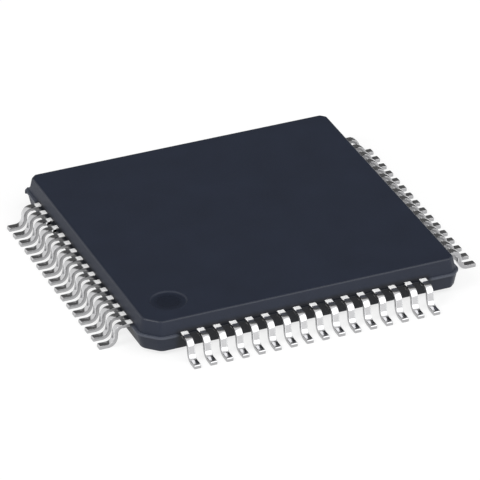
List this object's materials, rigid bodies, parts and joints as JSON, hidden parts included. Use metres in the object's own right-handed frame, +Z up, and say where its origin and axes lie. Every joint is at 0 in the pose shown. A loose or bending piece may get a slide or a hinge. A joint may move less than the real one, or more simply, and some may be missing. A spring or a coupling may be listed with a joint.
{
  "type": "quad flat pack chip",
  "caption": "Thin square surface-mount chip: black moulded body with drafted walls, pin-one dimple and gull-wing leads along all four sides for soldering to a board.",
  "frame": {"origin": "centre of the seating plane, under the feet of the leads", "axes": "+Z up out of the top face; +X along the front side from pin 1 towards pin 16; -Y out of the front side; the dimple of pin 1 is in the -X -Y corner"},
  "size_m": [0.012, 0.012, 0.0011],
  "materials": {
    "mould_compound": "fine satin, as moulded; bluish black epoxy",
    "tin_plate": "bright satin tin plate on copper alloy",
    "bare_copper": "bare stamped copper alloy",
    "die_attach_paste": "cured silver-filled paste",
    "silicon": "polished silicon",
    "gold_wire": "drawn gold wire"
  },
  "bodies": {
    "root": {"bond_wires_01_04": "gold_wire", "bond_wires_05_08": "gold_wire", "bond_wires_09_12": "gold_wire", "bond_wires_13_16": "gold_wire", "bond_wires_17_20": "gold_wire", "bond_wires_21_24": "gold_wire", "bond_wires_25_28": "gold_wire", "bond_wires_29_32": "gold_wire", "bond_wires_33_36": "gold_wire", "bond_wires_37_40": "gold_wire", "bond_wires_41_44": "gold_wire", "bond_wires_45_48": "gold_wire", "bond_wires_49_52": "gold_wire", "bond_wires_53_56": "gold_wire", "bond_wires_57_60": "gold_wire", "bond_wires_61_64": "gold_wire", "die_attach": "die_attach_paste", "die_paddle": "bare_copper", "leads_01_04": "tin_plate", "leads_05_08": "tin_plate", "leads_09_12": "tin_plate", "leads_13_16": "tin_plate", "leads_17_20": "tin_plate", "leads_21_24": "tin_plate", "leads_25_28": "tin_plate", "leads_29_32": "tin_plate", "leads_33_36": "tin_plate", "leads_37_40": "tin_plate", "leads_41_44": "tin_plate", "leads_45_48": "tin_plate", "leads_49_52": "tin_plate", "leads_53_56": "tin_plate", "leads_57_60": "tin_plate", "leads_61_64": "tin_plate", "mould_body": "mould_compound", "silicon_die": "silicon"}
  },
  "joints": []
}
